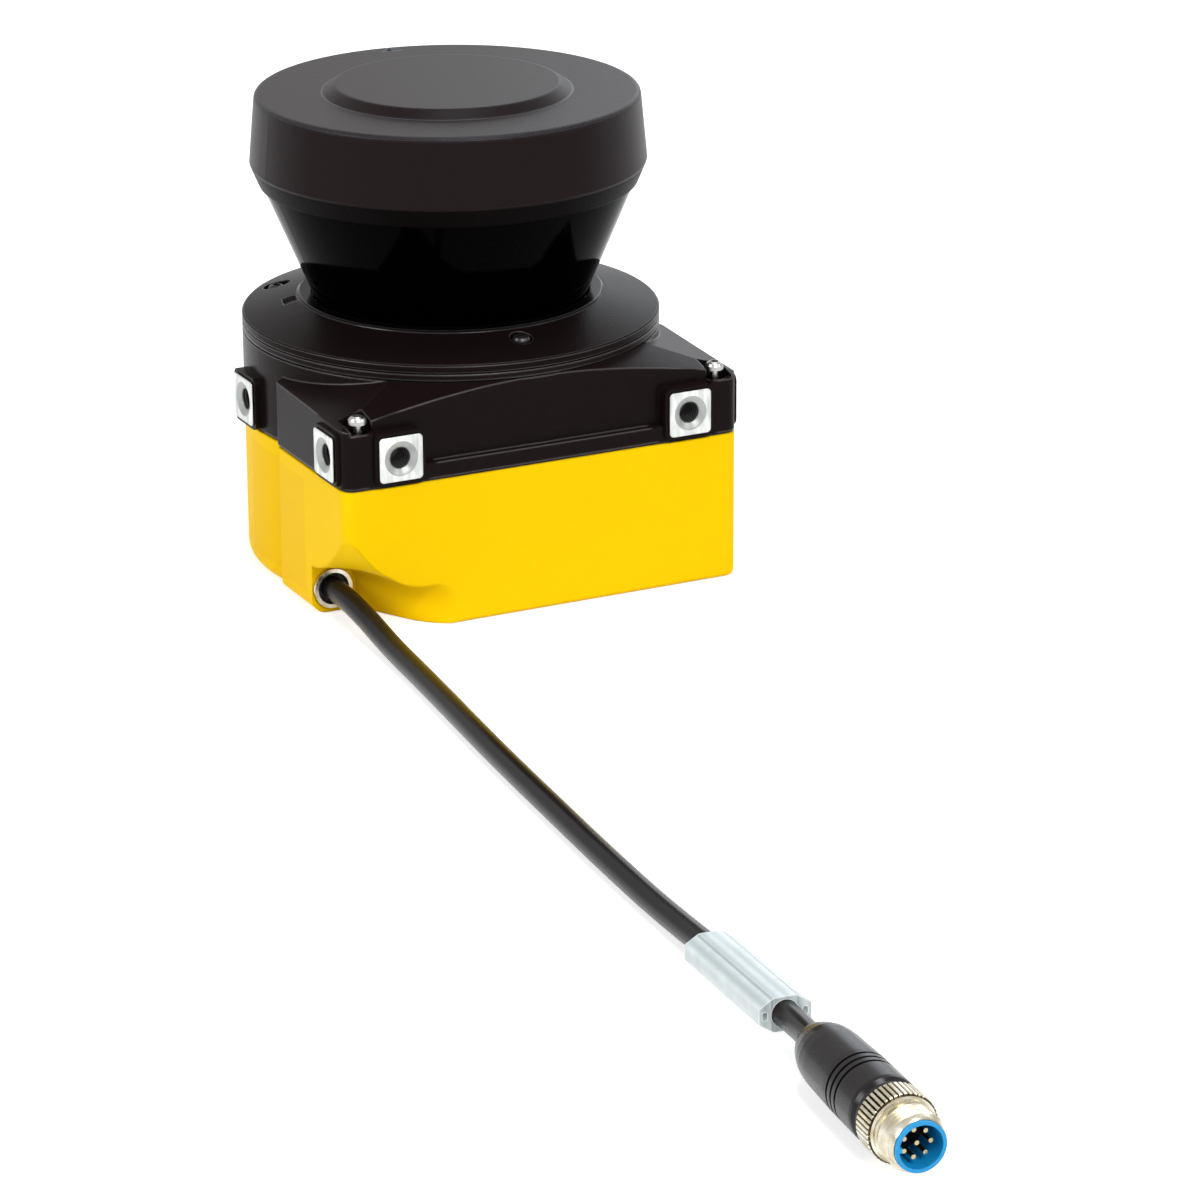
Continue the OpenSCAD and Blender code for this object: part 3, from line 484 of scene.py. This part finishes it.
# %% The class for a finish
class Finish:
    """One material: its tree, its surface shader and the few textures that finishes share."""

    def __init__(self, name, colour, roughness=None, metallic=0.0, **sockets):
        self.material = bpy.data.materials.new(name)
        self.material.use_nodes = True
        self.tree = self.material.node_tree
        self.bsdf = self.tree.nodes["Principled BSDF"]
        self.kit = Shade(self.tree, None)
        self.colour = colour
        self.put("Base Color", colour)
        self.put("Metallic", metallic)
        if roughness is not None:
            self.put("Roughness", roughness)
        for key, value in sockets.items():
            self.put(key.replace("_", " "), value)

    def put(self, socket, value):
        if isinstance(value, Shade):
            self.tree.links.new(value.socket, self.bsdf.inputs[socket])
        else:
            self.bsdf.inputs[socket].default_value = value

    def place(self):
        return self.kit.node("ShaderNodeTexCoord", out=3)

    def xyz(self):
        split = self.kit.node("ShaderNodeSeparateXYZ", inputs={0: self.place()}).socket.node
        return tuple(Shade(self.tree, split.outputs[i]) for i in range(3))

    def noise(self, size, detail=2.0, stretch=None):
        """Noise whose lumps are about size metres across."""
        place = self.place()
        if stretch:
            place = self.kit.node("ShaderNodeMapping", inputs={0: place, 3: stretch})
        return self.kit.node("ShaderNodeTexNoise",
                             inputs={"Vector": place, "Scale": 1.0 / size, "Detail": detail})

    def mix(self, mask, a, b):
        return self.kit.node("ShaderNodeMix", {"data_type": "RGBA"}, {0: mask, 6: a, 7: b}, out=2)

    def uneven(self, size, low, high, detail=2.0, spread=0.2):
        """A roughness that wanders from low to high in lumps of that size."""
        self.put("Roughness", self.noise(size, detail).ramp(0.5 - spread, 0.5 + spread, low, high))

    def bump(self, height, strength, distance, edge=None):
        """Bumps the surface, and rounds its sharp edges too where an edge radius is given."""
        inputs = {"Height": height, "Strength": strength, "Distance": distance}
        if edge is not None:
            inputs["Normal"] = self.kit.node("ShaderNodeBevel", {"samples": 4}, {"Radius": edge})
        self.put("Normal", self.kit.node("ShaderNodeBump", inputs=inputs))

    def gloss(self, grazing, roughness, base, share=1):
        """A clear coat that shows mostly at grazing angles, as on satin paint."""
        facing = self.kit.node("ShaderNodeLayerWeight", inputs={0: 0.5}, out=1)
        self.put("Coat Weight", (facing.ramp(0.30, 0.72) * grazing + base) * share)
        self.put("Coat Roughness", roughness)
        self.put("Specular IOR Level", 0.015)

    def edges(self, radius):
        """A mask for the rounded edges: it is 1 where a bevelled normal leaves the plain one."""
        rounded = self.kit.node("ShaderNodeBevel", {"samples": 6}, {"Radius": radius})
        plain = self.kit.node("ShaderNodeNewGeometry", out=3)
        return rounded.vectors("DOT_PRODUCT", plain, out=1).ramp(0.999, 0.93)

    def paint_edge_highlights(self, mask, under, bright, metallic=0.7):
        """Painted highlights on the rounded edges: a lighter tone there, partly metallic."""
        self.put("Base Color", self.mix(mask, under, bright))
        self.put("Metallic", mask * metallic)

    def beside_axis(self, point, direction):
        """The distance from a line, and the distance along it, of the place that is shaded."""
        offset = self.place().vectors("SUBTRACT", tuple(point))
        across = offset.vectors("CROSS_PRODUCT", tuple(direction))
        distance = self.kit.node("ShaderNodeVectorMath", {"operation": "LENGTH"}, {0: across}, out=1)
        return distance, offset.vectors("DOT_PRODUCT", tuple(direction), out=1)

    def dress(self, *names):
        for name in names:
            piece = nodes[name] if name in nodes else bpy.data.objects[name]
            piece.data.materials.clear()
            piece.data.materials.append(self.material)
        print("%s: %s" % (self.material.name, ", ".join(names)))


# %% [markdown]
# ## The yellow base
# The base is a die casting with a bright yellow powder coat. The coat is satin: it has a faint orange
# peel, and a little more gloss than grip. The side beside the cable carries a plate that is left bare
# here, a thin film with a warmer tone and its own edge. It could be a piece of its own, but a film is
# thinner than any mesh needs to show, so a mask in object coordinates draws it.

# %% Yellow paint
YELLOW = tone(251, 205, 0)
PLATE_X, PLATE_Y, PLATE_Z = 44 * MM, (-8 * MM, 28 * MM), (4 * MM, 33 * MM)
ORANGE_PEEL = 0.9 * MM
yellow = Finish("yellow_powder_coat", YELLOW, Specular_IOR_Level=0.04)
x, y, z = yellow.xyz()
plate = x.ramp(PLATE_X, PLATE_X + 1 * MM) * y.band(*PLATE_Y, 1 * MM) * z.band(*PLATE_Z, 0.8 * MM)
cloud = yellow.noise(30 * MM, 3.0).ramp(0.3, 0.7)
coat = yellow.mix(cloud * 0.35, YELLOW, tone(247, 198, 2))
yellow.put("Base Color", yellow.mix(plate * 0.6, coat, tone(243, 192, 8)))
yellow.put("Roughness", cloud * 0.06 + 0.45)

# %% Yellow paint: orange peel and rounded edges
# The outlet's bore leaves only a thin wall at the side. The rounding is off there, or the bore would
# show through as a soft mark.
thin_wall = (x > 49.5 * MM) & y.between(22 * MM, 30.6 * MM) & z.between(1.5 * MM, 11 * MM)
peel = yellow.noise(ORANGE_PEEL, 1.0) * 0.3 + plate * 0.2
yellow.bump(peel, 0.25, 0.3 * MM, edge=(1 - thin_wall) * (0.8 * MM))
yellow.dress("base_shell")

# %% [markdown]
# ## Black paint and bare milled pads
# The upper casting is painted black with a fine texture, and the six fixing pads are milled after
# painting, so their faces, countersinks and threads are bare metal. The faces could get a second material
# slot, but the solid's own mesh stays as it is, so one material holds both. A mask in object coordinates
# finds the pad faces and the holes, and the cutter's traces are drawn only there. The countersinks are
# painted darker and the bores darker still, as painted shade, with lighter bands on the thread as painted
# highlights. The painted edges away from the holes get a painted highlight, a lighter, partly metallic tone.

# %% Pads and holes
BLACK = tone(21, 13, 13)
PAD_X, PAD_Z = 37.4 * MM, 43.1 * MM                 # the rear holes, and the height of all six
PAD_REAR_Y, PAD_FRONT_Y = 42.8 * MM, -5.2 * MM      # the side holes
PAD_FACE_X, PAD_FACE_Y = 52.25 * MM, 53.25 * MM     # just under the milled faces
HOLE_END_X, HOLE_END_Y = 42.5 * MM, 43.0 * MM       # where the holes end inside
COUNTERSINK_R, BORE_R, HOLE_PITCH = 4.2 * MM, 2.62 * MM, 1.0 * MM
BOSS_R, FAR = 10 * MM, 1.0
casting = Finish("black_casting_paint", BLACK)
x, y, z = casting.xyz()
up = z - PAD_Z


def hole_distance(a, b):
    return (a * a + b * b) ** 0.5


rear_axis = hole_distance(abs(x) - PAD_X, up) + (y < HOLE_END_Y) * FAR
side_axis = hole_distance(y - PAD_REAR_Y, up) & hole_distance(y - PAD_FRONT_Y, up)
side_axis = side_axis + (abs(x) < HOLE_END_X) * FAR
axis = rear_axis & side_axis
cone, bore = axis < COUNTERSINK_R, axis < BORE_R
bare = (abs(x) > PAD_FACE_X) | (y > PAD_FACE_Y) | cone

# %% Bare metal
traces = casting.noise(1.6 * MM, stretch=(1.0, 1.0, 0.25)).ramp(0.3, 0.75)
depth = (rear_axis < 4 * MM) * y + (side_axis < 4 * MM) * abs(x)
# Bands one pitch apart, for the thread's painted highlights and painted shade in the bore.
thread = (depth * (1 / HOLE_PITCH)).maths("FRACT").ramp(0.2, 0.8)
metal = casting.mix(traces, tone(188, 190, 187), tone(236, 237, 234))
# Painted shade: the countersink is darker than the milled face, and the bore darker still.
metal = casting.mix(cone, metal, tone(158, 160, 158))
metal = casting.mix(bore, metal, casting.mix(thread, tone(60, 60, 62), tone(150, 150, 148)))

# %% Black paint over the rest
grain = casting.noise(0.5 * MM, 1.0)
# Painted highlight on the painted edges away from the holes: a lighter, partly metallic tone.
rim = casting.edges(0.7 * MM) * (1 - bare) * axis.ramp(BOSS_R - 0.5 * MM, BOSS_R + 0.5 * MM)
casting.put("Base Color", casting.mix(bare, casting.mix(rim, BLACK, tone(78, 74, 74)), metal))
casting.put("Metallic", bare * 0.7 + rim * 0.7)
casting.put("Roughness", bare * (traces * 0.08 + 0.06 - cone * 0.08) + 0.32)
casting.bump(grain * (1 - bare) + traces * bare * 0.5, 0.3, 0.2 * MM, edge=0.9 * MM)
casting.gloss(0.14, 0.26, base=0.06)
casting.dress("upper_casting")

# %% [markdown]
# ## The flange and the collar
# The flange plate has the casting's black paint, a little flatter. The collar round the cover's foot is
# smoother and darker, and its edge catches one thin line of light, helped by a painted highlight. Both could
# share the casting's material, but they have no bare metal, and the highlights painted on their edges are
# narrower.

# %% Flange and collar
flange_paint = Finish("black_flange_paint", tone(20, 13, 13), 0.32)
# Painted highlight on the flange's rounded edges.
flange_paint.paint_edge_highlights(flange_paint.edges(0.4 * MM), flange_paint.colour, tone(86, 82, 82))
flange_paint.bump(flange_paint.noise(0.5 * MM, 1.0), 0.3, 0.2 * MM, edge=0.8 * MM)
flange_paint.gloss(0.10, 0.3, base=0.03)
flange_paint.dress("flange_plate")

collar_paint = Finish("black_collar", tone(6, 4, 4), 0.13)
# Painted highlight on the collar's rounded edges.
collar_paint.paint_edge_highlights(collar_paint.edges(0.5 * MM), collar_paint.colour, tone(74, 72, 72), metallic=0.8)
collar_paint.bump(collar_paint.noise(0.6 * MM, 1.0), 0.1, 0.1 * MM, edge=0.6 * MM)
collar_paint.gloss(0.05, 0.18, base=0.03)
collar_paint.dress("cover_collar")

# %% [markdown]
# ## The cap
# The cap is moulded with a fine satin grain that catches a soft sheen. Its top edges get a painted highlight,
# and the chamfer below its widest ring turns in and is painted dark as painted shade. A small arrow on the
# rim marks the front. The masks come from the height above the floor, which is simpler here than painting
# weights on the mesh.

# %% Cap
CAP_BLACK = tone(22, 13, 14)
CHAMFER_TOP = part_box("top_cap")[0][2] + 4.5 * MM
SHOULDER_FROM = 106 * MM
cap = Finish("cap_satin", CAP_BLACK, 0.36)
x, y, z = cap.xyz()
arrow = (y < -41 * MM) & z.between(113 * MM, 113.95 * MM) & (abs(x) < 12 * MM)
# Painted shade: the chamfer below the widest ring is painted nearly black.
chamfer_shade = 1 - z.ramp(CHAMFER_TOP - 0.2 * MM, CHAMFER_TOP + 0.2 * MM)
cap_tone_with_chamfer_shade = cap.mix(arrow, cap.mix(chamfer_shade, CAP_BLACK, tone(7, 4, 4)), tone(4, 3, 4))
# Painted highlight on the edges of the cap's top.
cap.paint_edge_highlights(cap.edges(0.8 * MM) * (z > SHOULDER_FROM), cap_tone_with_chamfer_shade, tone(88, 90, 95))
cap.bump(cap.noise(0.45 * MM, 1.0), 0.35, 0.2 * MM, edge=0.8 * MM)
cap.gloss(0.24, 0.42, base=0.13, share=1 - chamfer_shade * 0.9)
cap.dress("top_cap")

# %% [markdown]
# ## Cable and plug
# The cable's sheath is smooth soft plastic with a clear gloss. The plug is moulded over it in the same
# black, but with a grain. Its blue insert is deep: only the rim is bright, and the floor round the pins is
# painted dark blue as painted shade. A mask along the plug's own axis finds that floor, whichever way the
# plug points.

# %% Cable and plug
sheath = Finish("cable_jacket", tone(22, 19, 20))
sheath.uneven(8 * MM, 0.30, 0.40, detail=3.0)
sheath.bump(sheath.noise(0.6 * MM), 0.12, 0.2 * MM)
sheath.gloss(0.3, 0.22, base=0.25)
sheath.dress("cable")

plug_plastic = Finish("plug_moulding", tone(20, 16, 18), 0.38)
plug_plastic.bump(plug_plastic.noise(0.5 * MM, 1.0), 0.2, 0.2 * MM, edge=0.4 * MM)
plug_plastic.gloss(0.2, 0.24, base=0.4)
plug_plastic.dress("plug_body")

BLUE = tone(20, 150, 212)
SOCKET_R, SOCKET_DEPTH = 4.2 * MM, 6 * MM
blue = Finish("blue_insert", BLUE, Specular_IOR_Level=0.4)
blue.uneven(1 * MM, 0.32, 0.42)
distance, along = blue.beside_axis(plug_at, plug_dir)
socket_floor_shade = (distance < SOCKET_R) & (along < NUT_START + NUT_L - SOCKET_DEPTH)
# Painted shade on the deep floor of the socket.
blue.put("Base Color", blue.mix(socket_floor_shade, BLUE, tone(12, 15, 30)))
blue.dress("plug_insert")

# %% [markdown]
# ## The clear sleeve
# The sleeve is clear plastic, but its bore and slots break the light, so it looks pale and streaky along
# its length. Real glass nodes would need many bounces for that, so the streaks, the two lines of the slot
# walls and the brighter edges are tones, and a little alpha lets the black cable show through.

# %% Clear sleeve
STREAKS_PER_M, WALL_AT = 2600.0, 2.7 * MM
clear = Finish("clear_sleeve", tone(214, 224, 224), 0.25, Specular_IOR_Level=0.4)
sideways = clear.place().vectors("SUBTRACT", tuple(sleeve_start))
sideways = sideways.vectors("DOT_PRODUCT", tuple(sleeve_side), out=1)
streaks = (sideways * STREAKS_PER_M).maths("SINE").ramp(-1.0, 1.0)
streaks = streaks * clear.noise(4 * MM).ramp(0.3, 0.7, 0.5, 1.0)
wall_line = abs(abs(sideways) - WALL_AT).ramp(0.35 * MM, 0.1 * MM)
plastic = clear.mix(streaks, tone(196, 208, 208), tone(232, 240, 240))
plastic = clear.mix(wall_line * 0.5, plastic, tone(120, 130, 134))
rim = clear.edges(0.4 * MM)
clear.put("Base Color", clear.mix(rim, plastic, tone(254, 254, 254)))
clear.put("Alpha", rim * 0.25 + 0.72)
clear.dress("sleeve")

# %% [markdown]
# ## Nickel
# The coupling nut and the outlet's ring are nickel plated, which is warmer than steel. A plain metal would
# look like a mirror ball, so both its tone and its roughness wander a little. The knurl's grooves are painted
# dark as painted shade, and they are found by their distance from the plug's axis.

# %% Nickel
nickel = Finish("nickel_plate", tone(190, 182, 160), metallic=1.0)
nickel.uneven(1.2 * MM, 0.18, 0.36, detail=3.0, spread=0.25)
distance, along = nickel.beside_axis(plug_at, plug_dir)
knurl_groove_shade = along.between(NUT_START, NUT_START + NUT_RING_L) & distance.between(6.2 * MM, NUT_R - 0.18 * MM)
plated = nickel.mix(nickel.noise(4 * MM).ramp(0.3, 0.7), tone(172, 160, 128), tone(218, 214, 202))
# Painted shade in the knurl's grooves.
nickel.put("Base Color", nickel.mix(knurl_groove_shade, plated, tone(60, 52, 38)))
nickel.dress("coupling_nut_knurled", "gland_ring")

# %% [markdown]
# ## Plain metals, plastics and glass
# The other pieces are small or lie inside, and one tone says what each is made of: bright steel, blackened
# screws, gold-plated pins, copper wire, rubber, coated glass. Each could have its own cell, but they differ
# only in numbers, so one function makes them, with a roughness that is never quite even.


# %% One function for plain finishes
def plain(name, colour, size, low, high, pieces, **how):
    """How a piece differs from dull plastic goes in how: metallic, detail, spread or a socket's value."""
    noise_words = {word: how.pop(word) for word in ("detail", "spread") if word in how}
    made = Finish(name, colour, **how)
    made.uneven(size, low, high, **noise_words)
    made.dress(*pieces)


# %% Plain metals
STEEL_PIECES = ("corner_screws", "board_screws", "board_spacers", "motor_bearings", "motor_shaft",
                "encoder_disc")
FINE = {"detail": 3.0, "spread": 0.25}
plain("plain_steel", tone(168, 167, 164), 0.8 * MM, 0.2, 0.4, STEEL_PIECES, metallic=1.0, **FINE)
plain("blackened_steel", tone(44, 42, 42), 0.8 * MM, 0.22, 0.4, ("flange_screws",), metallic=0.6, **FINE)
plain("plain_aluminium", tone(205, 207, 210), 1 * MM, 0.28, 0.45, ("motor_can", "motor_bracket"),
      metallic=1.0, **FINE)
plain("copper_wire", tone(186, 104, 58), 0.6 * MM, 0.3, 0.5, ("motor_windings",), metallic=1.0, **FINE)
plain("gold_plating", tone(176, 160, 124), 0.6 * MM, 0.15, 0.3, ("plug_pins", "laser_module"),
      metallic=1.0, spread=0.25)
plain("sintered_magnet", tone(96, 96, 100), 1 * MM, 0.4, 0.6, ("rotor_magnet",), metallic=0.8, spread=0.25)
plain("mirror_coating", tone(232, 236, 240), 10 * MM, 0.02, 0.05, ("scan_mirror",), metallic=1.0)

# %% Plain plastics and glass
plain("infrared_window", tone(2, 1, 2), 20 * MM, 0.06, 0.10, ("optics_cover",), Specular_IOR_Level=0.01)
plain("display_glass", tone(9, 10, 13), 10 * MM, 0.06, 0.1, ("display_window",), Specular_IOR_Level=0.12)
plain("coated_glass", tone(200, 220, 226), 10 * MM, 0.02, 0.05, ("receiver_lens", "light_guides"),
      Transmission_Weight=0.9, IOR=1.5)
plain("rubber", tone(16, 15, 15), 2 * MM, 0.6, 0.8, ("base_gasket", "gland_grommet"))
plain("dark_inner_plastic", tone(52, 52, 55), 2 * MM, 0.45, 0.6,
      ("rear_column", "mirror_carrier", "encoder_sensor", "lens_holder", "lens_ring"))

# %% Circuit boards
board = Finish("green_board", tone(28, 104, 58), 0.4)
tracks = board.noise(2 * MM, 3.0).ramp(0.45, 0.55)
board.put("Base Color", board.mix(tracks, tone(24, 92, 52), tone(40, 122, 70)))
board.dress("main_board", "power_board", "receiver_board", "display_board")

# %% [markdown]
# ## Floor and light
# The floor is plain and pale. Large lamps give the soft light of a studio, at a level at which a colour
# comes out about as it is written. More light would make the background white, but the yellow too, so the
# floor and the world are bright only for what the camera sees, straight, mirrored or through glass.

# %% Floor
FLOOR_SIZE, FLOOR_DROP = 6, 0.2 * MM


def seen_rays(tree):
    """1 for rays that show a thing straight, in a reflection or through glass, and 0 for mere light."""
    kinds = Shade(tree, None).node("ShaderNodeLightPath").socket.node.outputs
    seen, mirrored, through = (Shade(tree, kinds["Is %s Ray" % kind])
                               for kind in ("Camera", "Glossy", "Transmission"))
    return seen | mirrored | through


floor = mesh_object("floor",
                    lambda bm: bmesh.ops.create_grid(bm, x_segments=1, y_segments=1, size=FLOOR_SIZE))
floor.location = (0, 0, -FLOOR_DROP)
floor_paint = Finish("floor_paint", (0.85, 0.85, 0.85, 1.0), 0.9, Specular_IOR_Level=0.1)
floor_paint.put("Emission Color", (1.0, 1.0, 1.0, 1.0))
floor_paint.put("Emission Strength", seen_rays(floor_paint.tree) * 0.6)
floor_paint.dress("floor")

# %% Lamps
AIM = Vector((0, 0.05, 0.05))
LAMPS = [  # name, place, size, watts, tint
    ("key", (0.1, 1.5, 1.3), (0.7, 0.7), 19, (1, 1, 1)),
    ("side", (1.6, 0.1, 0.9), (0.7, 0.7), 14, (1, 1, 1)),
    ("fill", (-1.2, 1.1, 1.0), (0.5, 0.5), 4, (1, 1, 1)),
    ("top", (-0.1, 0.1, 1.7), (0.5, 0.5), 12, (0.88, 0.94, 1)),
    ("back", (-1.5, -1.5, 0.8), (1.4, 0.9), 6, (0.82, 0.91, 1))]
for name, place, size, watts, tint in LAMPS:
    light = bpy.data.lights.new(name, "AREA")
    light.shape = "RECTANGLE"
    light.size, light.size_y = size
    light.energy = watts
    light.color = tint
    lamp = bpy.data.objects.new(name, light)
    lamp.location = place
    lamp.rotation_euler = (AIM - Vector(place)).to_track_quat("-Z", "Y").to_euler()
    bpy.context.scene.collection.objects.link(lamp)
print("lamps:", ", ".join("%s %d W" % (lamp[0], lamp[3]) for lamp in LAMPS))

# %% World
world = bpy.data.worlds.new("world")
bpy.context.scene.world = world
world.use_nodes = True
sky = world.node_tree.nodes["Background"]
sky.inputs["Color"].default_value = (1, 1, 1, 1)
world.node_tree.links.new((seen_rays(world.node_tree) * 0.8 + 0.2).socket, sky.inputs["Strength"])
bpy.context.scene.view_settings.view_transform = "Standard"
